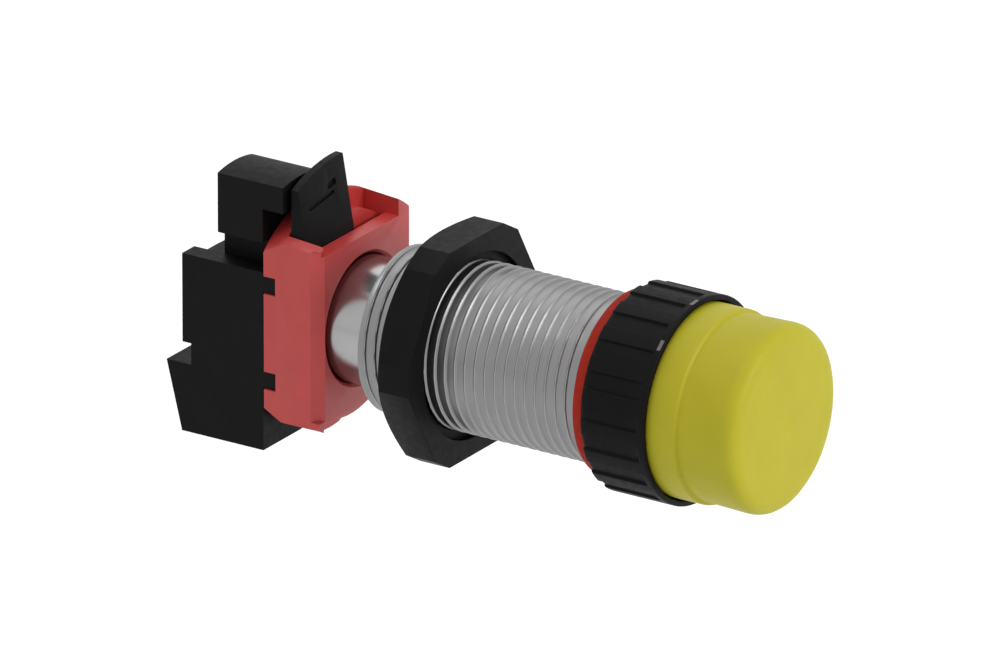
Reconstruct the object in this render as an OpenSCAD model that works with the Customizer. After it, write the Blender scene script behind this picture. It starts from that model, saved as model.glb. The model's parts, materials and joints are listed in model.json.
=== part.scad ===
// Emergency stop push button for a 22 mm panel hole.
// The barrel axis is Y. The button faces -Y, the contact block is at the +Y end, +Z is up,
// and Y = 0 is the rear face of the panel gasket. Lengths are in millimetres.

/* [Button] */
// Radius of the button's skirt, which runs inside the bezel
cap_skirt_r = 12.6; // [12:0.02:16]
// Distance the button stands in front of the bezel
cap_height = 12.55; // [9:0.05:18]
// Distance of the groove in front of the bezel
cap_groove_height = 4.1; // [2:0.05:6]
// Length of skirt hidden inside the bezel
cap_skirt_depth = 2.65; // [1:0.05:4]
// Radius of the rounded front edge
cap_edge_r = 2; // [0.5:0.1:3]
// Wall thickness of the button
cap_wall = 1.5; // [1:0.1:2]
// Thickness of the button's front
cap_face = 2.2; // [1:0.1:3]
// Travel of the button when pressed
push_travel = 4.3; // [3:0.1:4.5]

/* [Bezel and gasket] */
// Wall of the bezel over its ribs
bezel_wall = 0.75; // [0.7:0.05:2]
// Height of the bezel from the gasket to its front edge
bezel_height = 9.88; // [9.5:0.01:14]
// Depth of the bezel's ribbed part
bezel_rib_length = 9.45; // [5:0.05:9.5]
// Thickness of the bezel's floor
bezel_floor = 0.93; // [0.6:0.01:2]
// Width of the plain step behind the ribs, beyond the gasket
bezel_step = 0.5; // [0.1:0.05:0.9]
// Number of grooves round the bezel
bezel_grooves = 20; // [12:1:36]
// Depth of the grooves
bezel_groove_depth = 0.3; // [0.1:0.05:0.4]
// Outer radius of the gasket
gasket_r = 12.15; // [11.8:0.05:12.4]
// Thickness of the gasket
gasket_thick = 1.67; // [1:0.01:3]

/* [Barrel and nut] */
// Thread radius of the barrel
thread_r = 11; // [10:0.1:11.4]
// Length of thread behind the panel face
thread_length = 32.9; // [30:0.02:45]
// Radius of the shoulder behind the thread
shoulder_r = 9.2; // [8.8:0.05:10]
// Radius of the smooth tail
tail_r = 8.3; // [6.9:0.02:8.4]
// Length of the tail
tail_length = 12.1; // [10:0.1:16]
// Wall of the smooth tail
tail_wall = 1.1; // [0.9:0.05:1.4]
// Wall of the barrel in the thread
barrel_wall = 1.6; // [1.4:0.1:2.4]
// Nut size across flats
nut_flats = 29.1; // [26:0.1:34]
// Width across the nut's trimmed corners
nut_corners = 31.4; // [27:0.1:38]
// Nut thickness
nut_thick = 6.5; // [4:0.1:8]
// Distance from the panel face to the nut as supplied
nut_y = 22.1; // [12:0.1:24]

/* [Adapter] */
// Outer radius of the adapter
adapter_r = 16.05; // [15:0.05:19]
// Width of the adapter across its two flats
adapter_flats = 20.6; // [20:0.02:26]
// Depth of the adapter's front body
adapter_front_depth = 5.3; // [4.5:0.1:8]
// Depth of the chamfered rear flange
adapter_rear_depth = 3.1; // [2.5:0.1:5]
// Distance from the shoulder at the thread's end to the adapter
adapter_gap = 6.2; // [4:0.1:10]
// Gap round the barrel's tail in the adapter's hole
hole_gap = 0.2; // [0.2:0.05:0.6]
// Height of the front lip above the axis
lip_height = 11.3; // [10.5:0.1:13]
// Thickness of the front lip
lip_thick = 2.1; // [1.5:0.1:3]
// Width of the wall on the lever's side of the slot
slot_wall = 1.02; // [0.8:0.02:3]
// Width of the wall on the far side of the slot
slot_far_wall = 2.4; // [1:0.1:2.6]
// Width of the bevel on the front edge beside the lever
side_bevel = 1.35; // [0.5:0.05:2]
// Radius of the floor behind the lip
slot_floor_r = 13.5; // [12:0.1:15]

/* [Locking lever] */
// Radius of the lever's top
lever_tip_r = 21.3; // [18:0.1:24]
// Thickness of the lever at its top
lever_tip_thick = 1.1; // [0.8:0.05:1.5]
// Side of the lever that faces away from the slot wall
lever_right = 1.1; // [0:0.1:2]
// Thickness of the locking ring and of the lever's foot
ring_thick = 0.8; // [0.6:0.05:1]
// Angle that the lever turns to unlock
lever_swing = 24; // [15:1:24]

/* [Contact block] */
// Width of the contact block
block_width = 9.8; // [9:0.1:11]
// Height of the cheek's top face above the axis
block_top = 7.64; // [7:0.02:9]
// Drop from the cheek to the deck beside it
deck_drop = 1.4; // [0.4:0.1:1.6]
// Distance of the block's foot below the axis
block_bottom = 16.55; // [15:0.05:20]
// Distance of the foot's upper face below the axis
foot_top = 7.3; // [6.5:0.05:9]
// Depth of the foot at its upper edge
foot_depth = 15; // [15:0.1:18]
// Wall thickness of the block
block_wall = 1.2; // [0.8:0.02:1.5]
// Top edge of the upper terminal housing
terminal_top = 19.7; // [18.5:0.1:23]
// Bottom edge of the upper terminal housing
terminal_bottom = 11.67; // [10.5:0.05:12.5]
// Width of the upper terminal housing
terminal_width = 7.8; // [7:0.1:9]
// Depth of the upper terminal housing
terminal_depth = 7.1; // [6.5:0.1:9]
// Length of the terminal's roof over the adapter
roof_length = 2.8; // [1:0.1:2.8]
// Radius of the terminal screws
screw_r = 1.5; // [1:0.05:1.7]

/* [Hidden] */
$fn = 96;

// clearances
eps = 0.01;
seat_gap = 0.02;        // between two pieces pressed or bonded together
run_gap = 0.1;          // between a piece and the bore it slides in
free_gap = 0.3;         // between pieces that must not touch
thread_gap = 0.06;      // between a thread and its nut or plate

// front end
gasket_front = -gasket_thick;
bezel_front = gasket_front - bezel_height;
bezel_floor_front = gasket_front - bezel_floor;
bezel_rib_rear = bezel_front + bezel_rib_length;
cap_front_r = cap_skirt_r - 0.2;
cap_neck_r = cap_skirt_r - 0.45;
bezel_bore_r = cap_skirt_r + 0.25;
bezel_r = bezel_bore_r + bezel_wall;
bezel_step_r = gasket_r + bezel_step;
bezel_edge = 0.25;
bezel_lip = 0.9;        // plain length in front of the grooves
groove_pitch = 360 / bezel_grooves;
groove_offset = 4.5;    // degrees from +Z to the middle of the first groove
head_thick = 1.3;
head_front = bezel_floor_front - head_thick;
cap_front = bezel_front - cap_height;
cap_groove = bezel_front - cap_groove_height;
cap_rear = bezel_front + cap_skirt_depth;
cap_groove_cut = 0.12;
mark_length = 1.5;
mark_width = 0.5;
mark_angles = [-4.5, -40.5];

// plunger
hub_r = 6;
hub_length = 27.9;
hub_front = cap_front + cap_face;
disc_thick = 2;
disc_r = cap_front_r - cap_wall - seat_gap;
hub_rear = hub_front + disc_thick + hub_length;
rod_r = 3.5;
rod_tip_r = 2.5;
sleeve_rear = 5;
seal_thick = 1.4;
seal_r = 8.8;

// barrel
tail_rear = thread_length + tail_length;
tail_bore_r = tail_r - tail_wall;
barrel_bore_r = thread_r - barrel_wall;
web_thick = 1.6;
web_rear = thread_length + 0.1;
web_front = web_rear - web_thick;
web_bore_r = rod_r + 0.5;
shoulder_length = 0.7;
thread_chamfer = 0.7;
clip_thick = 0.8;
clip_r = tail_bore_r - 1;
clip_groove = 0.55;

// adapter
adapter_front = thread_length + adapter_gap;
adapter_half = adapter_flats / 2;
adapter_mid = adapter_front + adapter_front_depth;
adapter_rear = adapter_mid + adapter_rear_depth;
adapter_taper = 0.35;
adapter_rear_chamfer = 1.3;
corner_z = sqrt(pow(adapter_r - adapter_taper, 2) - pow(adapter_half, 2));   // front corners
bevel_top = corner_z + 0.3;
bevel_bottom = corner_z - 0.8;
sole_z = corner_z + 0.15;
sole_angle = 25.7;
adapter_hole_r = tail_r + hole_gap;
slot_left = slot_wall - adapter_half;
slot_right = adapter_half - slot_far_wall;
lip_rear = adapter_front + lip_thick;
ring_gap = 0.1;
ring_front = lip_rear + ring_gap;
ring_rear = ring_front + ring_thick;
pocket_rear = ring_rear + ring_gap;
pocket_r = adapter_hole_r + 1;
ring_r = pocket_r - 0.2;
ring_bore_r = tail_r + 0.15;
hole_chamfer = 0.45;
notch_depth_y = 1.75;
notch_depth_x = 1.3;
notch_height = 2.4;
notch_z = [6.1, -6.85];
tail_groove = 0.5;
lug_angle = 14;         // width of one locking lug
lug_gap = 6;            // extra angle of the tail's slots
pad_rear = adapter_mid - 2.2;
pad_thick = 2.4;
pad_hub = 1.4;
pad_r = tail_bore_r - 0.2;
rod_step = pad_rear - pad_thick - pad_hub;
rod_tip = pad_rear - 1;

// lever
lever_left = slot_left + 2 * ring_gap;
lever_rear = adapter_mid - free_gap;
lever_foot_r = slot_floor_r + 0.6;
lever_groove = 0.35;    // depth of the lever's groove and notch

// contact block
nose_r = 1.6;
plunger_x = nose_r + 0.5 - tail_bore_r;     // the nose stays inside the tail's bore
block_left = plunger_x - block_width / 2;
block_right = block_left + block_width;
block_front = adapter_rear + free_gap;
deck_top = block_top - deck_drop;
cheek_right = block_left + 2.8;
foot_rear = adapter_rear + foot_depth;
foot_low_rear = foot_rear - 2.3;
step_z = -4.4;
cover_thick = 1.2;
cavity_left = block_left + block_wall;
cavity_right = block_right - cover_thick;
nose_front = pad_rear + free_gap;
seat_pad_r = 3.4;
rib_rear = block_front + block_wall + 1;
strip_thick = 0.8;
strip_half = 1.1;
strip_rear = rib_rear + strip_thick;
tip_thick = 0.6;
tip_r = 1.1;
bridge_reach = deck_top - block_wall - 0.34;
tip_z = bridge_reach - 1;
bridge_front = strip_rear + 2 * tip_thick;
bridge_thick = 0.6;
bridge_rear = bridge_front + bridge_thick;
bridge_half = 0.95;
body_front = block_front + block_wall + free_gap;
body_half = 2;
window_rear = bridge_rear + 1.1;
body_rear = window_rear + 0.5;
cavity_rear = body_rear + push_travel + 0.36;
block_rear = cavity_rear + block_wall;
foot_step = block_rear - 1.31;
strip_inner_z = tip_z - tip_r;
terminal_front = adapter_rear - roof_length;
terminal_rear = adapter_rear + terminal_depth;
terminal_right = block_left + terminal_width;
terminal_x = (block_left + terminal_right) / 2;
terminal_arch = 0.46;
roof_bottom = adapter_r + 0.15;
neck_left = block_left + 3;
neck_rear = terminal_rear + 1;
slot_side = 0.1;
upper_screw_z = (terminal_bottom + terminal_top) / 2 - 0.3;
lower_screw_z = -(block_bottom + foot_top) / 2;
upper_plate_half = terminal_top - block_wall - upper_screw_z - 0.2;
lower_plate_half = 3;
clamp_thick = 0.8;
clamp_gap = 0.2;
head_thick_screw = 1.8;
drive_slot = 0.6;
drive_depth = 0.9;
lower_plate_front = block_front + 7.4;
lower_shelf_z = -foot_top - block_wall - 0.4;
plate_half = terminal_width / 2 - block_wall - run_gap;
screw_head_r = plate_half - 0.2;

// a child drawn along +Z is laid along +Y, from y
module along(y) { translate([0, y, 0]) rotate([-90, 0, 0]) children(); }
// a child drawn in 2D as (y, z) becomes a slab between x0 and x1
module slab(x0, x1) { translate([x0, 0, 0]) rotate([90, 0, 90]) linear_extrude(x1 - x0) children(); }
// a box from its lowest corner to its highest
module block(low, high) { translate(low) cube(high - low); }
// a turned ring between two radii
module ring(y0, y1, outer, inner) {
    along(y0) difference() {
        cylinder(r = outer, h = y1 - y0);
        translate([0, 0, -eps]) cylinder(r = inner, h = y1 - y0 + 2 * eps);
    }
}
// a sector of the XZ plane: degrees are counted from +Z towards +X
function polar(radius, degrees) = [radius * sin(degrees), -radius * cos(degrees)];
module sector(y0, y1, radius, from, to) {
    along(y0) linear_extrude(y1 - y0)
        polygon(concat([[0, 0]], [for (i = [0 : 4]) polar(radius, from + (to - from) * i / 4)]));
}

// a coil spring of round wire between two flat seats
module coil(x, y0, y1, r0, r1, wire_r, turns, sides, steps) {
    rings = turns * steps;
    points = [for (i = [0 : rings], j = [0 : sides - 1])
        let (t = i / rings, a = 360 * turns * t, b = 360 * j / sides,
             r = r0 + (r1 - r0) * t + wire_r * cos(b), y = y0 + wire_r + (y1 - y0 - 2 * wire_r) * t)
        [x + r * sin(a), y + wire_r * sin(b), r * cos(a)]];
    walls = [for (i = [0 : rings - 1], j = [0 : sides - 1])
        let (k = (j + 1) % sides, a = i * sides, b = a + sides)
        each [[a + j, a + k, b + j], [a + k, b + k, b + j]]];
    first = [for (j = [sides - 1 : -1 : 0]) j];
    last = [for (j = [0 : sides - 1]) rings * sides + j];
    polyhedron(points, concat(walls, [first, last]), convexity = 8);
}

module button_cap() {
    edge_x = cap_front_r - cap_edge_r;
    edge_y = cap_front + cap_edge_r;
    color([0.74, 0.71, 0.20]) along(0) rotate_extrude() polygon(concat(
        [[0, cap_front]],
        [for (i = [0 : 8]) [edge_x + cap_edge_r * sin(i * 90 / 8), edge_y - cap_edge_r * cos(i * 90 / 8)]],
        [[cap_neck_r, cap_groove - cap_groove_cut], [cap_neck_r - cap_groove_cut, cap_groove],
         [cap_skirt_r, cap_groove + cap_groove_cut], [cap_skirt_r, cap_rear],
         [cap_skirt_r - cap_wall, cap_rear], [cap_skirt_r - cap_wall, cap_groove + cap_wall],
         [cap_front_r - cap_wall, cap_groove + cap_groove_cut],
         [cap_front_r - cap_wall, cap_front + cap_face],
         [0, cap_front + cap_face]]));
}

module plunger_stem() {
    color([0.86, 0.86, 0.83]) difference() {
        along(0) rotate_extrude() polygon([[0, hub_front], [disc_r, hub_front],
            [disc_r, hub_front + disc_thick], [hub_r, hub_front + disc_thick], [hub_r, hub_rear],
            [rod_r, hub_rear], [rod_r, web_rear], [rod_r - clip_groove, web_rear],
            [rod_r - clip_groove, web_rear + clip_thick], [rod_r, web_rear + clip_thick],
            [rod_r, rod_step], [rod_tip_r, rod_step], [rod_tip_r, rod_tip], [0, rod_tip]]);
    }
}

module actuator_pad() {
    color([0.2, 0.2, 0.21]) along(0) rotate_extrude() polygon([[rod_tip_r + seat_gap, rod_step],
        [rod_r + 0.4, rod_step], [rod_r + 0.4, pad_rear - pad_thick], [pad_r, pad_rear - pad_thick],
        [pad_r, pad_rear], [0, pad_rear], [0, rod_tip + seat_gap],
        [rod_tip_r + seat_gap, rod_tip + seat_gap]]);
}

module retaining_clip() {
    mouth = rod_r - clip_groove;
    color([0.62, 0.63, 0.65]) difference() {
        ring(web_rear, web_rear + clip_thick, clip_r, rod_r - clip_groove + seat_gap);
        block([-mouth, web_rear - 1, 0], [mouth, web_rear + clip_thick + 1, clip_r + 1]);
    }
}

module return_spring() {
    color([0.7, 0.71, 0.73]) coil(0, hub_rear, web_front, 4.95, 4.95, 0.45, 6, 6, 16);
}

module bezel_ring() {
    color([0.09, 0.09, 0.095]) difference() {
        along(0) rotate_extrude() polygon([[bezel_bore_r, bezel_front], [bezel_r - bezel_edge, bezel_front],
            [bezel_r, bezel_front + bezel_edge], [bezel_r, bezel_rib_rear], [bezel_step_r, bezel_rib_rear],
            [bezel_step_r, gasket_front], [thread_r + run_gap, gasket_front],
            [thread_r + run_gap, bezel_floor_front],
            [bezel_bore_r, bezel_floor_front]]);
        difference() {
            for (i = [0 : bezel_grooves - 1]) {
                middle = groove_offset + i * groove_pitch;
                sector(bezel_front + bezel_lip, gasket_front + 1, bezel_r + 1,
                    middle - groove_pitch / 4, middle + groove_pitch / 4);
            }
            along(bezel_front) cylinder(r = bezel_r - bezel_groove_depth, h = bezel_height + 2);
        }
        for (a = mark_angles) mark(a, seat_gap);
    }
}

// one light index mark let into a rib beside the bezel's front edge
module mark(degrees, gap) {
    half = mark_length / 2 + gap;
    front = bezel_front + bezel_edge;
    rotate([0, degrees, 0]) block([-half, front - gap, bezel_r - 0.5 - gap],
        [half, front + mark_width + gap, bezel_r - 0.03 + 2 * gap]);
}

module bezel_index_marks() {
    color([0.75, 0.75, 0.73]) for (a = mark_angles) mark(a, 0);
}

module panel_gasket() {
    color([0.72, 0.22, 0.17]) ring(gasket_front, 0, gasket_r, thread_r + run_gap);
}

module threaded_barrel() {
    slot_angle = lug_angle + lug_gap;
    color([0.66, 0.66, 0.67]) difference() {
        along(0) rotate_extrude() polygon([[barrel_bore_r, head_front], [bezel_bore_r - run_gap, head_front],
            [bezel_bore_r - run_gap, bezel_floor_front], [thread_r, bezel_floor_front],
            [thread_r, thread_length - thread_chamfer], [thread_r - thread_chamfer, thread_length],
            [shoulder_r, thread_length], [shoulder_r, thread_length + shoulder_length],
            [tail_r, thread_length + shoulder_length], [tail_r, lip_rear],
            [tail_r - tail_groove, lip_rear], [tail_r - tail_groove, pocket_rear], [tail_r, pocket_rear],
            [tail_r, tail_rear], [tail_bore_r, tail_rear], [tail_bore_r, web_rear], [web_bore_r, web_rear],
            [web_bore_r, web_front], [barrel_bore_r, web_front]]);
        for (side = [0, 180]) rotate([0, side + lever_swing, 0]) lug_slot(slot_angle);
    }
}

// an entry slot in the tail, from the locking groove to the tail's end
module lug_slot(angle) {
    difference() {
        sector(ring_front, tail_rear + 1, tail_r + 1, 90 - angle / 2, 90 + angle / 2);
        along(lip_rear - 1) cylinder(r = tail_r - tail_groove + 0.05, h = tail_length);
    }
}

module guide_sleeve() {
    color([0.88, 0.88, 0.86]) ring(head_front, sleeve_rear, barrel_bore_r - seat_gap, hub_r + run_gap);
}

module lip_seal() {
    color([0.12, 0.12, 0.12]) along(0) rotate_extrude() polygon([[hub_r + 0.05, head_front - seal_thick],
        [hub_r + 0.7, head_front - seal_thick], [seal_r, head_front - 0.5], [seal_r, head_front],
        [hub_r + 0.6, head_front], [hub_r + 0.3, head_front - 0.4]]);
}

module lock_nut() {
    half = nut_flats / 2;
    corner = half / cos(30);
    cone_rise = 2.1;
    color([0.08, 0.08, 0.085]) difference() {
        intersection() {
            along(nut_y) cylinder(r = corner, h = nut_thick, $fn = 6);
            along(nut_y) rotate([0, 0, 30]) cylinder(r = nut_corners / 2 / cos(30), h = nut_thick, $fn = 6);
            along(0) rotate_extrude() polygon([[0, nut_y], [corner, nut_y],
                [corner, nut_y + nut_thick - cone_rise - 0.5], [half - 2, nut_y + nut_thick],
                [0, nut_y + nut_thick]]);
        }
        along(nut_y - 1) cylinder(r = thread_r + thread_gap, h = nut_thick + 2);
        along(nut_y - 1) cylinder(r = thread_r + 1.2, h = 2);
    }
}

// the adapter's outline, between its two flats
module adapter_outline() {
    intersection() {
        along(0) rotate_extrude() polygon([[0, adapter_front], [adapter_r - adapter_taper, adapter_front],
            [adapter_r, adapter_mid], [adapter_r - adapter_rear_chamfer, adapter_rear], [0, adapter_rear]]);
        block([-adapter_half, adapter_front - 1, -adapter_r], [adapter_half, adapter_rear + 1, adapter_r]);
    }
}

module adapter_collar() {
    color([0.80, 0.37, 0.36]) difference() {
        adapter_outline();
        along(adapter_front - 1) cylinder(r = adapter_hole_r, h = lip_thick + 2);
        along(adapter_front - eps)
            cylinder(r1 = adapter_hole_r + hole_chamfer, r2 = adapter_hole_r, h = hole_chamfer);
        along(lip_rear) cylinder(r = pocket_r, h = adapter_rear);
        // the slot above the lip, and the same slot below the axis
        for (low_side = [0, 1]) mirror([0, 0, low_side]) {
            block([slot_left, adapter_front - 1, lip_height], [slot_right, lip_rear + eps, adapter_r + 1]);
            difference() {
                block([slot_left, lip_rear, 0], [slot_right, adapter_mid, adapter_r + 1]);
                along(adapter_front) cylinder(r = slot_floor_r, h = 2 * adapter_front_depth);
            }
        }
        // the deeper groove for the lever's foot
        block([slot_left, lip_rear, 0], [slot_right, pocket_rear, adapter_r + 1]);
        // the bevelled front edge beside the lever, which stops short of its corners
        translate([-adapter_half, adapter_front, -bevel_bottom]) rotate([0, 0, 45])
            translate([-side_bevel / sqrt(2), -side_bevel / sqrt(2), 0])
                cube([side_bevel * sqrt(2), side_bevel * sqrt(2), bevel_bottom + bevel_top]);
        // the flat soles under the two lower corners
        for (side = [0, 1]) mirror([side, 0, 0])
            translate([-adapter_half, 0, -sole_z]) rotate([0, sole_angle, 0])
                block([-2, adapter_front - 1, -4], [adapter_r, adapter_rear + 1, 0]);
        // notches for the contact block's hooks
        for (way = [1, -1], z = notch_z)
            translate([way * (adapter_half - notch_depth_x / 2), adapter_rear - notch_depth_y / 2, z])
                cube([notch_depth_x + eps, notch_depth_y + eps, notch_height], center = true);
    }
}

module ring_retainer() {
    color([0.55, 0.16, 0.15]) ring(pocket_rear, adapter_rear, pocket_r - seat_gap, adapter_hole_r);
}

module lock_ring() {
    color([0.15, 0.15, 0.16]) union() {
        ring(ring_front, ring_rear, ring_r, ring_bore_r);
        for (side = [90, 270]) intersection() {
            ring(ring_front, ring_rear, ring_r, tail_r - tail_groove + 0.12);
            sector(ring_front - 1, ring_rear + 1, ring_r + 1, side - lug_angle / 2, side + lug_angle / 2);
        }
    }
}

module locking_lever() {
    lean_top = lever_rear - lever_tip_thick;
    color([0.07, 0.07, 0.075]) difference() {
        intersection() {
            along(0) rotate_extrude() polygon([[ring_r + seat_gap, ring_front],
                [lip_height + 2 * ring_gap, ring_front],
                [lever_tip_r, lean_top], [lever_tip_r, lever_rear], [lever_foot_r, lever_rear],
                [lever_foot_r, ring_rear], [ring_r + seat_gap, ring_rear]]);
            block([lever_left, ring_front - 1, 0], [lever_right, lever_rear + 1, lever_tip_r + 1]);
        }
        // a long groove and a short notch in the leaning front
        translate([lever_right - 5.8, ring_front + 1, 16.8]) rotate([0, -8.4, 0])
            cube([5.5, 2 * lever_groove, 0.45], center = true);
        translate([lever_right - 3.3, ring_front + 1.2, 18.3]) rotate([0, -8.4, 0])
            cube([1.7, 2 * lever_groove, 0.8], center = true);
    }
}

module block_outline(top) {
    polygon([[block_front, -block_bottom], [foot_low_rear, -block_bottom], [foot_rear, -foot_top],
        [foot_step, -foot_top], [foot_step, step_z], [block_rear, step_z], [block_rear, top],
        [block_front, top]]);
}

module cavity_outline() {
    wall = block_wall;
    polygon([[block_front + wall, wall - block_bottom], [foot_low_rear - wall, wall - block_bottom],
        [foot_rear - 1.3 * wall, -foot_top - wall], [foot_step - wall, -foot_top - wall],
        [foot_step - wall, step_z + wall], [cavity_rear, step_z + wall],
        [cavity_rear, deck_top - wall], [block_front + wall, deck_top - wall]]);
}

// the upper terminal's housing, with its arched top and its roof over the adapter
module terminal_outline() {
    arch_r = (pow(terminal_width / 2, 2) + pow(terminal_arch, 2)) / (2 * terminal_arch);
    slab(block_left, terminal_right) polygon([[terminal_front, roof_bottom], [block_front, roof_bottom],
        [block_front, terminal_bottom], [terminal_rear, terminal_bottom], [terminal_rear, terminal_top],
        [terminal_front, terminal_top]]);
    intersection() {
        translate([terminal_x, 0, terminal_top + terminal_arch - arch_r]) along(terminal_front)
            cylinder(r = arch_r, h = terminal_rear - terminal_front);
        block([block_left, terminal_front, terminal_top - 1],
            [terminal_right, terminal_rear, terminal_top + 1]);
    }
}

module contact_housing() {
    wall = block_wall;
    color([0.085, 0.085, 0.09]) difference() {
        union() {
            difference() {
                union() {
                    slab(block_left, cavity_right - seat_gap) block_outline(deck_top);
                    slab(block_left, cheek_right) block_outline(block_top);
                    terminal_outline();
                    block([neck_left, block_front, deck_top - eps],
                        [terminal_right, neck_rear, terminal_bottom + eps]);
                    translate([plunger_x, 0, 0]) along(adapter_rear) cylinder(r = seat_pad_r, h = 0.5);
                }
                slab(cavity_left, cavity_right + 1) cavity_outline();
                block([block_left + wall, block_front + wall, terminal_bottom - 1],
                    [terminal_right - wall, terminal_rear - wall, terminal_top - wall]);
            }
            // ribs that carry the two fixed contacts
            block([cavity_left - eps, block_front + wall - eps, strip_inner_z],
                [plunger_x + strip_half, rib_rear, deck_top - wall + eps]);
            block([cavity_left - eps, block_front + wall - eps, lower_shelf_z],
                [plunger_x + strip_half, rib_rear, -strip_inner_z]);
            // hooks that snap into the adapter's notches
            for (z = notch_z) hook(z);
        }
        translate([plunger_x, 0, 0]) along(adapter_rear - 1) cylinder(r = nose_r + run_gap, h = wall + 2.5);
        block([plunger_x - strip_half - slot_side, rib_rear, deck_top - wall - 1],
            [plunger_x + strip_half + slot_side, strip_rear + slot_side, terminal_bottom + 1]);
        translate([terminal_x, 0, upper_screw_z]) along(terminal_rear - wall - 1)
            cylinder(r = screw_head_r + free_gap, h = wall + 2);
        translate([plunger_x, 0, lower_screw_z]) along(foot_low_rear - wall - 1)
            cylinder(r = screw_head_r + free_gap, h = wall + 4);
    }
}

// one hook: an arm in the adapter's notch, and a foot that joins it to the block's front wall
module hook(z) {
    half = notch_height / 2 - run_gap;
    arm_left = free_gap - adapter_half;
    block([arm_left, adapter_rear - notch_depth_y + run_gap, z - half],
        [notch_depth_x - run_gap - adapter_half, block_front + eps, z + half]);
    block([arm_left, block_front, z - half], [cavity_left, block_front + block_wall, z + half]);
}

module contact_cover() {
    color([0.095, 0.095, 0.1]) union() {
        slab(cavity_right, block_right) block_outline(deck_top);
        for (p = [[block_front + block_wall + 1.2, -block_bottom + block_wall + 1.2],
                  [cavity_rear - 1.2, deck_top - block_wall - 1.2]])
            translate([cavity_right - 1.5, p[0], p[1]]) rotate([0, 90, 0]) cylinder(r = 0.8, h = 1.5 + eps);
    }
}

module contact_plunger() {
    color([0.85, 0.85, 0.82]) difference() {
        union() {
            translate([plunger_x, 0, 0]) along(nose_front)
                cylinder(r = nose_r, h = body_front - nose_front + eps);
            block([plunger_x - body_half, body_front, -2.2], [plunger_x + body_half, body_rear, 2.2]);
        }
        block([plunger_x - bridge_half - 2 * run_gap, bridge_front, -3],
            [plunger_x + bridge_half + 2 * run_gap, window_rear, 3]);
    }
}

module moving_bridge() {
    color([0.80, 0.62, 0.32]) block([plunger_x - bridge_half, bridge_front, -bridge_reach],
        [plunger_x + bridge_half, bridge_rear, bridge_reach]);
}

module bridge_contacts() {
    color([0.80, 0.80, 0.79]) for (z = [tip_z, -tip_z])
        translate([plunger_x, 0, z]) along(bridge_front - tip_thick) cylinder(r = tip_r - 0.2, h = tip_thick);
}

module bridge_spring() {
    color([0.7, 0.71, 0.73]) coil(plunger_x, bridge_rear, window_rear, 0.8, 0.8, 0.14, 2, 6, 12);
}

module plunger_return_spring() {
    color([0.7, 0.71, 0.73]) coil(plunger_x, body_rear, cavity_rear, 1.3, 2.8, 0.2, 3, 6, 16);
}

module fixed_contact_upper() {
    color([0.80, 0.62, 0.32]) difference() {
        union() {
            block([plunger_x - strip_half, rib_rear, strip_inner_z],
                [plunger_x + strip_half, strip_rear, terminal_bottom + 0.6]);
            block([terminal_x - plate_half, rib_rear, terminal_bottom + 0.5],
                [terminal_x + plate_half, strip_rear, terminal_top - block_wall - 0.2]);
        }
        translate([terminal_x, 0, upper_screw_z]) along(rib_rear - 1)
            cylinder(r = screw_r + thread_gap, h = 3);
    }
}

module fixed_contact_lower() {
    color([0.80, 0.62, 0.32]) difference() {
        union() {
            block([plunger_x - strip_half, rib_rear, lower_shelf_z - strip_thick],
                [plunger_x + strip_half, strip_rear, -strip_inner_z]);
            block([plunger_x - strip_half, rib_rear, lower_shelf_z - strip_thick],
                [plunger_x + strip_half, lower_plate_front, lower_shelf_z]);
            block([plunger_x - plate_half, lower_plate_front - strip_thick, block_wall - block_bottom + 0.1],
                [plunger_x + plate_half, lower_plate_front, lower_shelf_z]);
        }
        translate([plunger_x, 0, lower_screw_z]) along(lower_plate_front - 3)
            cylinder(r = screw_r + thread_gap, h = 4);
    }
}

module fixed_contact_tips() {
    color([0.80, 0.80, 0.79]) for (z = [tip_z, -tip_z])
        translate([plunger_x, 0, z]) along(strip_rear) cylinder(r = tip_r, h = tip_thick);
}

// a square clamp plate with a clearance hole for its screw
module clamp(x, y, z, half) {
    color([0.66, 0.66, 0.66]) difference() {
        block([x - plate_half, y, z - half], [x + plate_half, y + clamp_thick, z + half]);
        translate([x, 0, z]) along(y - 1) cylinder(r = screw_r + 2 * run_gap, h = clamp_thick + 2);
    }
}

module clamp_plate_upper() {
    clamp(terminal_x, strip_rear + clamp_gap, upper_screw_z, upper_plate_half);
}

module clamp_plate_lower() {
    clamp(plunger_x, lower_plate_front + clamp_gap, lower_screw_z, lower_plate_half);
}

// a slotted screw, from its tip to its head
module terminal_screw(x, y, z, tip) {
    seat = y + clamp_gap + clamp_thick + 0.05;
    color([0.70, 0.70, 0.71]) difference() {
        translate([x, 0, z]) union() {
            along(tip) cylinder(r = screw_r, h = seat - tip + eps);
            along(seat) cylinder(r = screw_head_r, h = head_thick_screw);
        }
        block([x - screw_head_r - 1, seat + head_thick_screw - drive_depth, z - drive_slot / 2],
            [x + screw_head_r + 1, seat + head_thick_screw + 1, z + drive_slot / 2]);
    }
}

module terminal_screw_upper() {
    terminal_screw(terminal_x, strip_rear, upper_screw_z, rib_rear - 0.7);
}

module terminal_screw_lower() {
    terminal_screw(plunger_x, lower_plate_front, lower_screw_z, lower_plate_front - 2.6);
}

button_cap();
plunger_stem();
actuator_pad();
retaining_clip();
return_spring();
bezel_ring();
bezel_index_marks();
panel_gasket();
threaded_barrel();
guide_sleeve();
lip_seal();
lock_nut();
adapter_collar();
ring_retainer();
lock_ring();
locking_lever();
contact_housing();
contact_cover();
contact_plunger();
moving_bridge();
bridge_contacts();
bridge_spring();
plunger_return_spring();
fixed_contact_upper();
fixed_contact_lower();
fixed_contact_tips();
clamp_plate_upper();
clamp_plate_lower();
terminal_screw_upper();
terminal_screw_lower();
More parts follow.
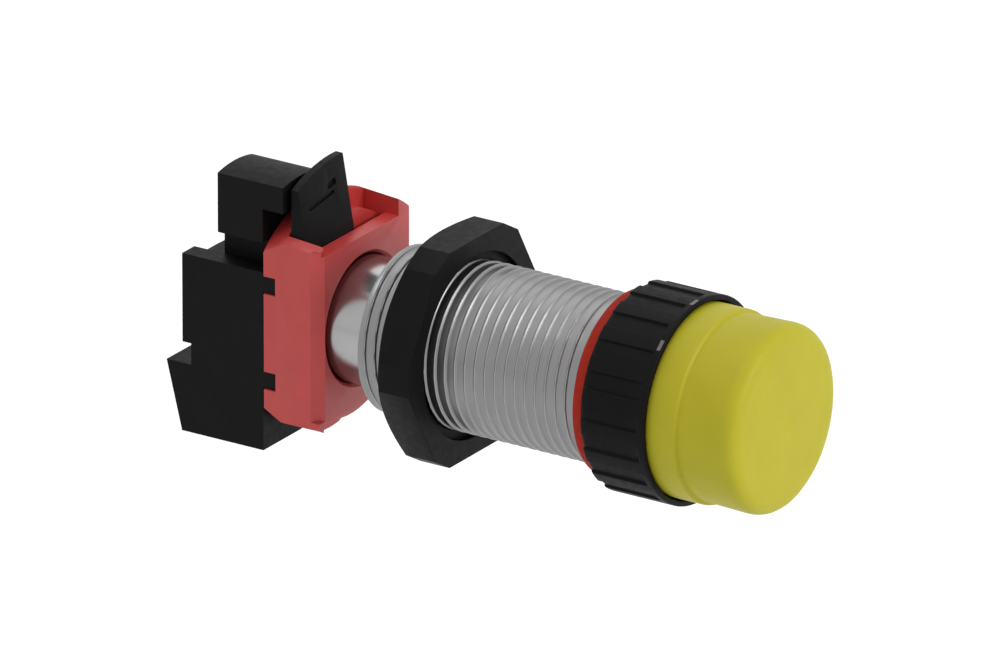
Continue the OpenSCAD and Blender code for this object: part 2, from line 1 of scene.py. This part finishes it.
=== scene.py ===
"""An emergency stop push button: the looks of every piece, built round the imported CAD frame.

Lengths are millimetres, and MM turns them into the metres that Blender works in. The lamps, the floor,
VIEW_CENTRE, VIEW_DISTANCE and VIEW_WIDTH are in metres.
The barrel axis is Y, the button faces -Y and +Z is up.
"""
import json
import math

import bmesh
import bpy
from mathutils import Matrix, Vector


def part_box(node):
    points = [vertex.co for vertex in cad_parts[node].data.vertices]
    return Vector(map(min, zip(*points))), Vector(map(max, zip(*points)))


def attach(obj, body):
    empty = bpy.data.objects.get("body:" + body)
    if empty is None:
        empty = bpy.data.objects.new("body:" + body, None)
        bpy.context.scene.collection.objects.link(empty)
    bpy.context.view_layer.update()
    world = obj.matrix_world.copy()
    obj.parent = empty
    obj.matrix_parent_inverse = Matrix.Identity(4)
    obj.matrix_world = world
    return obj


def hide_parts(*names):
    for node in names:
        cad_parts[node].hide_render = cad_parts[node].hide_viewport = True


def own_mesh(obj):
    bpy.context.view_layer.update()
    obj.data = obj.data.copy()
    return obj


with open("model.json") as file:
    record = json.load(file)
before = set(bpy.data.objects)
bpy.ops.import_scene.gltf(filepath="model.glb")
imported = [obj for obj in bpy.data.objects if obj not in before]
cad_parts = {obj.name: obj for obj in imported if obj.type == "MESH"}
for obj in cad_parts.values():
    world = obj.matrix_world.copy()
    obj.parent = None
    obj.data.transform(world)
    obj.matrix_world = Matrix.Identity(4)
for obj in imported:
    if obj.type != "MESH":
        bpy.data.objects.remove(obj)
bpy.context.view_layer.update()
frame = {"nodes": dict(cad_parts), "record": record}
MM = 0.001
NODES = frame["nodes"]
BODY_OF = {node: body for body, nodes in frame["record"]["behaviour"]["bodies"].items() for node in nodes}


# ---------------------------------------------------------------- sizes from the frame

def low(node):
    """A node's lowest corner in millimetres."""
    return [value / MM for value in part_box(node)[0]]


def high(node):
    """A node's highest corner in millimetres."""
    return [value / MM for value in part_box(node)[1]]


BARREL_REAR = high("threaded_barrel")[1]
SMOOTH_LENGTH = 12.1       # the shoulder and the tail, behind the thread
THREAD_END = BARREL_REAR - SMOOTH_LENGTH
THREAD_R = 11.0
RING_BORE = 11.1           # of the bezel and the gasket, which sit round the thread


# ---------------------------------------------------------------- mesh helpers

def finish_piece(mesh, name, material, node, smooth_angle=35.0):
    """Makes the object of a finished bmesh, shades it, and lets it stand for a CAD node."""
    bmesh.ops.recalc_face_normals(mesh, faces=mesh.faces)
    data = bpy.data.meshes.new(name)
    mesh.to_mesh(data)
    mesh.free()
    data.materials.append(material)
    data.shade_smooth()
    data.set_sharp_from_angle(angle=math.radians(smooth_angle))
    piece = bpy.data.objects.new(name, data)
    bpy.context.collection.objects.link(piece)
    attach(piece, BODY_OF[node])
    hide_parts(node)
    return piece


def rounded(corners, steps=4):
    """A profile of (radius, y, fillet) corners as points, each filleted corner drawn as a curve."""
    points = []
    count = len(corners)
    for i, (r, y, fillet) in enumerate(corners):
        here = Vector((r, y))
        if fillet <= 0:
            points.append(here)
            continue
        before = (Vector(corners[i - 1][:2]) - here).normalized() * fillet
        after = (Vector(corners[(i + 1) % count][:2]) - here).normalized() * fillet
        for k in range(steps + 1):
            t = k / steps
            points.append(here + before * (1 - t) ** 2 + after * t ** 2)
    return points


def lathe(profile, segments, reshape=None, closed=True):
    """A solid turned about the Y axis. The profile is (radius, y) points in millimetres.

    reshape(angle, radius, y) may give another radius. An open profile starts and ends on the axis.
    """
    mesh = bmesh.new()
    rows = []
    for r, y in profile:
        if r < 1e-6:
            rows.append([mesh.verts.new((0, y * MM, 0))])
            continue
        row = []
        for k in range(segments):
            angle = 2 * math.pi * k / segments
            radius = reshape(angle, r, y) if reshape else r
            place = (radius * MM * math.sin(angle), y * MM, radius * MM * math.cos(angle))
            row.append(mesh.verts.new(place))
        rows.append(row)
    pairs = list(zip(rows, rows[1:]))
    if closed:
        pairs.append((rows[-1], rows[0]))
    for a, b in pairs:
        for k in range(segments):
            n = (k + 1) % segments
            if len(a) == 1:
                mesh.faces.new((a[0], b[n], b[k]))
            elif len(b) == 1:
                mesh.faces.new((a[k], a[n], b[0]))
            else:
                mesh.faces.new((a[k], a[n], b[n], b[k]))
    return mesh


def node_mesh(node):
    """A copy of a CAD node's mesh, in place."""
    mesh = bmesh.new()
    mesh.from_mesh(NODES[node].data)
    bmesh.ops.transform(mesh, matrix=NODES[node].matrix_world, verts=mesh.verts)
    return mesh


def soft_copy(node, name, material, width, segments=3):
    """A copy of a CAD node with its edges rounded, as moulding leaves them."""
    mesh = node_mesh(node)
    bmesh.ops.remove_doubles(mesh, verts=mesh.verts, dist=0.002 * MM)
    bmesh.ops.dissolve_limit(mesh, angle_limit=math.radians(0.6), verts=mesh.verts, edges=mesh.edges,
                             delimit={"NORMAL"})
    piece = finish_piece(mesh, name, material, node)
    bevel = piece.modifiers.new("edges", "BEVEL")
    bevel.width = width * MM
    bevel.segments = segments
    bevel.limit_method = "ANGLE"
    bevel.angle_limit = math.radians(28.0)
    bevel.harden_normals = True
    bevel.miter_outer = "MITER_ARC"
    return piece


# ---------------------------------------------------------------- materials

class Shader:
    """A material's node tree, with short calls for the nodes used here."""

    def __init__(self, name):
        self.material = bpy.data.materials.new(name)
        self.material.use_nodes = True
        self.tree = self.material.node_tree
        self.bsdf = self.tree.nodes["Principled BSDF"]
        self.coords = self.tree.nodes.new("ShaderNodeTexCoord").outputs["Object"]

    def node(self, kind, inputs=(), **settings):
        made = self.tree.nodes.new(kind)
        for key, value in settings.items():
            setattr(made, key, value)
        for key, value in dict(inputs).items():
            if isinstance(value, bpy.types.NodeSocket):
                self.tree.links.new(value, made.inputs[key])
            else:
                made.inputs[key].default_value = value
        return made

    def noise(self, scale, detail=3.0, stretch=(1, 1, 1)):
        """Noise in object space; scale is in cycles per metre."""
        place = self.node("ShaderNodeMapping", {"Vector": self.coords, "Scale": stretch}).outputs["Vector"]
        made = self.node("ShaderNodeTexNoise", {"Vector": place, "Scale": scale, "Detail": detail})
        return made.outputs["Fac"]

    def spread(self, value, low_out, high_out, low_in=0.3, high_in=0.7):
        made = self.node("ShaderNodeMapRange", {"Value": value, "From Min": low_in, "From Max": high_in,
                                                "To Min": low_out, "To Max": high_out})
        return made.outputs["Result"]

    def blend(self, factor, first, second):
        made = self.node("ShaderNodeMix", data_type="RGBA")
        self.tree.links.new(factor, made.inputs["Factor"])
        for socket, value in ((made.inputs[6], first), (made.inputs[7], second)):
            if isinstance(value, bpy.types.NodeSocket):
                self.tree.links.new(value, socket)
            else:
                socket.default_value = (*value, 1)
        return made.outputs[2]

    def radius(self):
        """Distance from the barrel axis, in metres."""
        flat = self.node("ShaderNodeVectorMath", {0: self.coords, 1: (1, 0, 1)}, operation="MULTIPLY")
        made = self.node("ShaderNodeVectorMath", {0: flat.outputs["Vector"]}, operation="LENGTH")
        return made.outputs["Value"]

    def bump(self, height, depth, strength=1.0, under=None):
        inputs = {"Height": height, "Distance": depth * MM, "Strength": strength}
        if under:
            inputs["Normal"] = under
        return self.node("ShaderNodeBump", inputs).outputs["Normal"]

    def connect(self, socket, value):
        if isinstance(value, bpy.types.NodeSocket):
            self.tree.links.new(value, self.bsdf.inputs[socket])
        else:
            self.bsdf.inputs[socket].default_value = value


def scaled(colour, factor):
    return tuple(min(1.0, channel * factor) for channel in colour)


GRAIN_SIZE = 0.16
GRAIN_DEPTH = 0.006


def plastic(name, colour, rough, specular, cloud=0.05):
    """Moulded plastic: faint clouding of its colour, uneven gloss and a fine spark-eroded grain."""
    s = Shader(name)
    clouds = s.spread(s.noise(220, 4), 0, 1)
    s.connect("Base Color", s.blend(clouds, scaled(colour, 1 - cloud), scaled(colour, 1 + cloud)))
    s.connect("Roughness", s.spread(s.noise(900, 4), rough - 0.06, rough + 0.06))
    s.connect("Specular IOR Level", specular)
    fine = s.bump(s.noise(1 / (GRAIN_SIZE * MM), 2), GRAIN_DEPTH)
    s.connect("Normal", s.bump(s.noise(97, 2), 0.02, 0.5, fine))
    return s.material


def barrel_metal(name, thread, tail, crest_highlight):
    """Turned and plated metal: satin on the thread, a painted highlight (a lighter colour) on its crests,
    polished on the tail.
    """
    s = Shader(name)
    along = s.node("ShaderNodeSeparateXYZ", {0: s.coords}).outputs["Y"]
    polished = s.spread(along, 0, 1, (THREAD_END - 0.1) * MM, (THREAD_END + 0.6) * MM)
    lines = s.noise(60, 4, (1, 90, 1))
    clouds = s.spread(s.noise(160, 4), 0, 1)
    satin = s.blend(clouds, scaled(thread, 0.9), thread)
    satin = s.blend(s.spread(lines, 0, 0.3), satin, scaled(thread, 0.72))
    # painted highlight: the thread's crests get a lighter colour that stands in for the light they catch
    crest_highlight_mask = s.spread(s.radius(), 0, 1, (THREAD_R - 0.1) * MM, (THREAD_R - 0.01) * MM)
    satin = s.blend(crest_highlight_mask, satin, crest_highlight)
    s.connect("Base Color", s.blend(polished, satin, s.blend(clouds, scaled(tail, 0.95), tail)))
    s.connect("Metallic", 1.0)
    worn = s.spread(s.noise(250, 3, (1, 3, 1)), 0, 0.05)
    base = s.spread(polished, 0.34, 0.2, 0, 1)
    s.connect("Roughness", s.node("ShaderNodeMath", {0: base, 1: worn}, operation="ADD").outputs["Value"])
    s.connect("Normal", s.bump(lines, 0.003))
    return s.material


def sheet_metal(name, colour, rough):
    """Rolled and stamped metal with a faint grain along its length."""
    s = Shader(name)
    clouds = s.spread(s.noise(300, 4), 0, 1)
    s.connect("Base Color", s.blend(clouds, scaled(colour, 0.86), colour))
    s.connect("Metallic", 1.0)
    s.connect("Roughness", s.spread(s.noise(1500, 3, (1, 1, 0.1)), rough - 0.07, rough + 0.07))
    s.connect("Normal", s.bump(s.noise(4000, 2, (1, 1, 0.1)), 0.004))
    return s.material


def rubber(name, colour):
    """Matt moulded rubber with a fine dusty grain."""
    s = Shader(name)
    dust = s.spread(s.noise(1200, 5), 0, 1)
    s.connect("Base Color", s.blend(dust, scaled(colour, 0.88), scaled(colour, 1.06)))
    s.connect("Roughness", s.spread(s.noise(500, 3), 0.64, 0.78))
    s.connect("Specular IOR Level", 0.15)
    s.connect("Normal", s.bump(s.noise(5000, 3), 0.01))
    return s.material


YELLOW = plastic("yellow_plastic", (0.48, 0.436, 0.02), 0.48, 0.22, cloud=0.03)
BLACK = plastic("black_plastic", (0.0042, 0.0042, 0.0045), 0.5, 0.09, cloud=0.12)
RED = plastic("red_plastic", (0.53, 0.046, 0.043), 0.34, 0.5)
DEEP_RED = plastic("deep_red_plastic", (0.30, 0.03, 0.028), 0.45, 0.4)
NYLON = plastic("natural_nylon", (0.72, 0.72, 0.67), 0.42, 0.45)
LIGHT = plastic("light_mark", (0.15, 0.135, 0.14), 0.5, 0.4)
GASKET = rubber("red_rubber", (0.40, 0.024, 0.012))
SEAL = rubber("black_rubber", (0.012, 0.012, 0.012))
# the last colour is the painted highlight on the thread's crests
BARREL = barrel_metal("barrel_metal", (0.27, 0.27, 0.275), (0.38, 0.38, 0.38), (0.36, 0.36, 0.36))
STEEL = sheet_metal("plated_steel", (0.55, 0.55, 0.56), 0.3)
SPRING = sheet_metal("spring_steel", (0.50, 0.51, 0.53), 0.25)
BRASS = sheet_metal("rolled_brass", (0.62, 0.42, 0.15), 0.28)
SILVER = sheet_metal("silver_facing", (0.68, 0.67, 0.65), 0.25)


# ---------------------------------------------------------------- button, bezel and gasket

def build_cap():
    """The hollow cap: a rounded crown, a narrower neck and a skirt behind a small step."""
    node = "button_cap"
    front, rear, skirt = low(node)[1], high(node)[1], high(node)[0]
    crown, neck, groove = skirt - 0.2, skirt - 0.45, front + 8.45
    wall, face = 1.5, 2.2
    profile = rounded([
        (0, front, 0), (crown, front, 2.3), (neck, groove + 0.02, 0.03), (skirt - 0.02, groove + 0.22, 0.1),
        (skirt, groove + 0.9, 0.3), (skirt, rear, 0.2),
        (skirt - wall, rear, 0.2), (skirt - wall, groove + wall, 0.3), (crown - wall, groove, 0.3),
        (crown - wall, front + face, 0.6), (0, front + face, 0)], 6)
    finish_piece(lathe(profile, 192, closed=False), "button_cap_shell", YELLOW, node)


def rib_lift(angle, pitch, middle, groove, flank):
    """0 in the bottom of a groove, 1 on top of a rib, rounded between. middle is a groove's middle."""
    turn = ((angle - middle) / pitch) % 1.0
    edge = min(turn, 1 - turn) * pitch
    t = min(1.0, max(0.0, (edge - groove / 2) / flank))
    return t * t * (3 - 2 * t)


def build_bezel():
    """The ribbed ring, with a shallow pocket in its front edge for each index mark."""
    node = "bezel_ring"
    front, rear, outer = low(node)[1], high(node)[1], high(node)[0]
    bore, step = high("button_cap")[0] + 0.25, outer - 0.95
    pitch, groove, flank = math.radians(18), math.radians(8.2), math.radians(0.8)
    middle, depth, lip = math.radians(4.5), 0.32, 0.9
    floor = rear - 0.93
    rib_rear = rear - 0.43
    marks = [math.radians(value) for value in (-4.5, -40.5)]
    mark_half, pocket_depth = 0.75 / outer, 0.08

    def ribs(angle, radius, y):
        if radius < outer - 0.5:
            return radius
        if front + 0.24 < y < front + 0.76:
            aside = min(abs((angle - mark + math.pi) % (2 * math.pi) - math.pi) for mark in marks)
            return radius - (pocket_depth if aside < mark_half else 0)
        lift = rib_lift(angle, pitch, middle, groove, flank)
        ends = min(1.0, max(0.0, (y - front - lip) / 0.3))
        return radius - depth * (1 - lift) * ends

    lengthwise = [(outer, front + y, 0) for y in (0.27, 0.73, 0.8, 0.95, 1.05, 1.15, 1.3, 3, 5, 7, 8.5)]
    profile = rounded([(bore, front, 0.15), (outer, front, 0.25)] + lengthwise + [
        (outer, rib_rear, 0.4), (step, rib_rear + 0.05, 0.1), (step, rear, 0.12), (RING_BORE, rear, 0),
        (RING_BORE, floor, 0), (bore, floor, 0)])
    finish_piece(lathe(profile, 1200, ribs), "bezel_ring_ribbed", BLACK, node)


def build_gasket():
    """The flat ring between the bezel and the panel."""
    node = "panel_gasket"
    front, rear, outer = low(node)[1], high(node)[1], high(node)[0]
    profile = rounded([
        (RING_BORE, front, 0.1), (outer, front, 0.1), (outer, rear, 0.35), (RING_BORE, rear, 0.1)])
    finish_piece(lathe(profile, 160), "panel_gasket_ring", GASKET, node)


# ---------------------------------------------------------------- barrel

PITCH = 1.5
THREAD_DEPTH = 0.27
CREST_SHARE = 0.04         # the flat on top of the thread, as a share of its pitch
FLANK_SHARE = 0.27         # both flanks together
ROWS_PER_TURN = 25


def build_barrel():
    """The barrel with its helical thread, its shoulder, and its smooth tail with the locking groove."""
    node = "threaded_barrel"
    front, rear = low(node)[1], BARREL_REAR
    bore, tail_bore, web_bore = 9.4, 7.2, 4.0
    web_front, web_rear = 31.4, 33.0
    shoulder_r, tail_r, groove_r = 9.2, 8.3, 7.8
    groove_front, groove_rear = rear - 3.8, rear - 2.8
    floor = low("panel_gasket")[1] - 0.93
    head_r = high("button_cap")[0] + 0.15
    start = high("panel_gasket")[1] - 0.6

    def thread(angle, radius, y):
        if radius < THREAD_R - 0.001 or y < start or y > THREAD_END:
            return radius
        phase = (y / PITCH - angle / (2 * math.pi)) % 1.0
        slope = abs(phase - 0.5) * 2
        cut = min(1.0, max(0.0, (slope - CREST_SHARE) / FLANK_SHARE))
        ends = min(1.0, (y - start) / 0.8, (THREAD_END - y) / 0.8)
        return radius - THREAD_DEPTH * cut * max(0.35, ends)

    rows = int((THREAD_END - start) / PITCH * ROWS_PER_TURN)
    lengthwise = [(THREAD_R, start + (THREAD_END - start) * k / rows, 0) for k in range(rows + 1)]
    head = [(bore, front, 0), (head_r, front, 0.1), (head_r, floor, 0), (THREAD_R, floor, 0)]
    shoulder = [
        (shoulder_r + 1, THREAD_END + 0.01, 0.1), (shoulder_r, THREAD_END + 0.02, 0.1),
        (shoulder_r, THREAD_END + 0.7, 0.15), (tail_r + 0.35, THREAD_END + 0.85, 0.2),
        (tail_r, THREAD_END + 1.3, 0.3)]
    tail = [
        (tail_r, groove_front, 0.08), (groove_r, groove_front, 0), (groove_r, groove_rear, 0),
        (tail_r, groove_rear, 0.08), (tail_r, rear, 0.3)]
    inside = [
        (tail_bore, rear, 0.15), (tail_bore, web_rear, 0), (web_bore, web_rear, 0), (web_bore, web_front, 0),
        (bore, web_front, 0)]
    profile = rounded(head + lengthwise + shoulder + tail + inside)
    finish_piece(lathe(profile, 150, thread), "threaded_barrel_tube", BARREL, node, 60.0)


# ---------------------------------------------------------------- springs and carried-over nodes

CARRIED = {
    "plunger_stem": NYLON, "actuator_pad": BLACK, "retaining_clip": SPRING, "bezel_index_marks": LIGHT,
    "guide_sleeve": NYLON, "lip_seal": SEAL, "ring_retainer": DEEP_RED, "lock_ring": BLACK,
    "contact_plunger": NYLON, "moving_bridge": BRASS, "bridge_contacts": SILVER, "bridge_spring": SPRING,
    "fixed_contact_upper": BRASS, "fixed_contact_lower": BRASS, "fixed_contact_tips": SILVER,
    "clamp_plate_upper": STEEL, "clamp_plate_lower": STEEL,
}


def build_springs():
    """The two springs that the button compresses, which shorten towards their fixed ends as it goes in; here
    each is only copied with a mesh of its own.
    """
    for joint in frame["record"]["behaviour"]["joints"]:
        for held in joint.get("deforming_nodes", ()):
            node = held["node"]
            piece = finish_piece(node_mesh(node), node + "_coil", SPRING, node, 50.0)
            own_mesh(piece)


def dress_carried():
    """Gives the CAD nodes that are shown as they are their materials."""
    for node, material in CARRIED.items():
        for held in NODES[node].material_slots:
            held.material = material


# ---------------------------------------------------------------- stage, lights and camera

VIEW_AZIMUTH = math.radians(-56.8)
VIEW_HEIGHT = math.radians(21.9)
VIEW_DISTANCE = 3.0
VIEW_WIDTH = 0.12579
VIEW_CENTRE = Vector((0, 0.0190, 0.0013))
VIEW_ACROSS, VIEW_UP = -15.59, 6.18
SENSOR = 36


def view_axes():
    """The camera's right, up and backward directions."""
    a, e = VIEW_AZIMUTH, VIEW_HEIGHT
    back = Vector((math.sin(a) * math.cos(e), -math.cos(a) * math.cos(e), math.sin(e)))
    right = Vector((math.cos(a), math.sin(a), 0))
    return right, back.cross(right), back


def add_camera():
    right, up, back = view_axes()
    data = bpy.data.cameras.new("camera")
    data.sensor_width = SENSOR
    data.lens = SENSOR * VIEW_DISTANCE / VIEW_WIDTH
    data.clip_end = 100
    camera = bpy.data.objects.new("camera", data)
    target = right * (VIEW_ACROSS * MM) + up * (VIEW_UP * MM) + back * VIEW_CENTRE.dot(back)
    camera.matrix_world = Matrix.Translation(target + back * VIEW_DISTANCE) @ Matrix(
        (right, up, back)).transposed().to_4x4()
    bpy.context.collection.objects.link(camera)
    bpy.context.scene.camera = camera


def add_area_light(name, direction, distance, size, watts):
    data = bpy.data.lights.new(name, "AREA")
    data.shape = "DISK"
    data.size = size
    data.energy = watts
    lamp = bpy.data.objects.new(name, data)
    towards = Vector(direction).normalized()
    lamp.location = VIEW_CENTRE + towards * distance
    lamp.rotation_euler = towards.to_track_quat("Z", "Y").to_euler()
    bpy.context.collection.objects.link(lamp)


def seen_directly(tree):
    """1 where a ray shows the background itself: camera, glossy and transmission rays."""
    path = tree.nodes.new("ShaderNodeLightPath")
    first = tree.nodes.new("ShaderNodeMath")
    first.operation = "MAXIMUM"
    tree.links.new(path.outputs["Is Camera Ray"], first.inputs[0])
    tree.links.new(path.outputs["Is Glossy Ray"], first.inputs[1])
    second = tree.nodes.new("ShaderNodeMath")
    second.operation = "MAXIMUM"
    tree.links.new(first.outputs[0], second.inputs[0])
    tree.links.new(path.outputs["Is Transmission Ray"], second.inputs[1])
    return second.outputs[0]


WORLD_LIGHT = 0.60
FLOOR_GLOW = 0.3
FLOOR_LEVEL = -0.06
FLOOR_HALF = 6.0


def add_world():
    """Plain white surroundings, which light the object less than they show."""
    world = bpy.data.worlds.new("studio")
    world.use_nodes = True
    tree = world.node_tree
    plain = tree.nodes["Background"]
    plain.inputs["Color"].default_value = (1, 1, 1, 1)
    scale = tree.nodes.new("ShaderNodeMapRange")
    tree.links.new(seen_directly(tree), scale.inputs["Value"])
    scale.inputs["To Min"].default_value = WORLD_LIGHT
    scale.inputs["To Max"].default_value = 1.0
    tree.links.new(scale.outputs["Result"], plain.inputs["Strength"])
    bpy.context.scene.world = world


def add_floor():
    """A white floor that keeps the object's shadow."""
    mesh = bmesh.new()
    bmesh.ops.create_grid(mesh, x_segments=2, y_segments=2, size=FLOOR_HALF)
    data = bpy.data.meshes.new("floor")
    mesh.to_mesh(data)
    mesh.free()
    floor = bpy.data.objects.new("floor", data)
    floor.location.z = FLOOR_LEVEL
    bpy.context.collection.objects.link(floor)
    material = bpy.data.materials.new("floor_white")
    material.use_nodes = True
    tree = material.node_tree
    tree.nodes.remove(tree.nodes["Principled BSDF"])
    diffuse = tree.nodes.new("ShaderNodeBsdfDiffuse")
    diffuse.inputs["Color"].default_value = (0.88, 0.88, 0.88, 1)
    glow = tree.nodes.new("ShaderNodeEmission")
    level = tree.nodes.new("ShaderNodeMath")
    level.operation = "MULTIPLY"
    tree.links.new(seen_directly(tree), level.inputs[0])
    level.inputs[1].default_value = FLOOR_GLOW
    tree.links.new(level.outputs[0], glow.inputs["Strength"])
    both = tree.nodes.new("ShaderNodeAddShader")
    tree.links.new(diffuse.outputs[0], both.inputs[0])
    tree.links.new(glow.outputs[0], both.inputs[1])
    tree.links.new(both.outputs[0], tree.nodes["Material Output"].inputs["Surface"])
    data.materials.append(material)


# ---------------------------------------------------------------- the scene

bpy.context.scene.view_settings.view_transform = "Standard"
add_camera()
add_world()
add_floor()
add_area_light("key", (0.15, -1.0, 0.42), 0.7, 0.35, 1.8)
add_area_light("top", (-0.35, 0.1, 1.0), 0.8, 0.4, 0.95)
add_area_light("back", (0.42, 0.5, 0.75), 0.8, 0.6, 0.6)

build_cap()
build_bezel()
build_gasket()
build_barrel()
soft_copy("lock_nut", "lock_nut_body", BLACK, 0.3)
soft_copy("adapter_collar", "adapter_collar_body", RED, 0.35, 4)
soft_copy("locking_lever", "locking_lever_blade", BLACK, 0.15)
soft_copy("contact_housing", "contact_housing_shell", BLACK, 0.18)
soft_copy("contact_cover", "contact_cover_plate", BLACK, 0.18)
soft_copy("terminal_screw_upper", "terminal_screw_upper_body", STEEL, 0.12)
soft_copy("terminal_screw_lower", "terminal_screw_lower_body", STEEL, 0.12)
build_springs()
dress_carried()
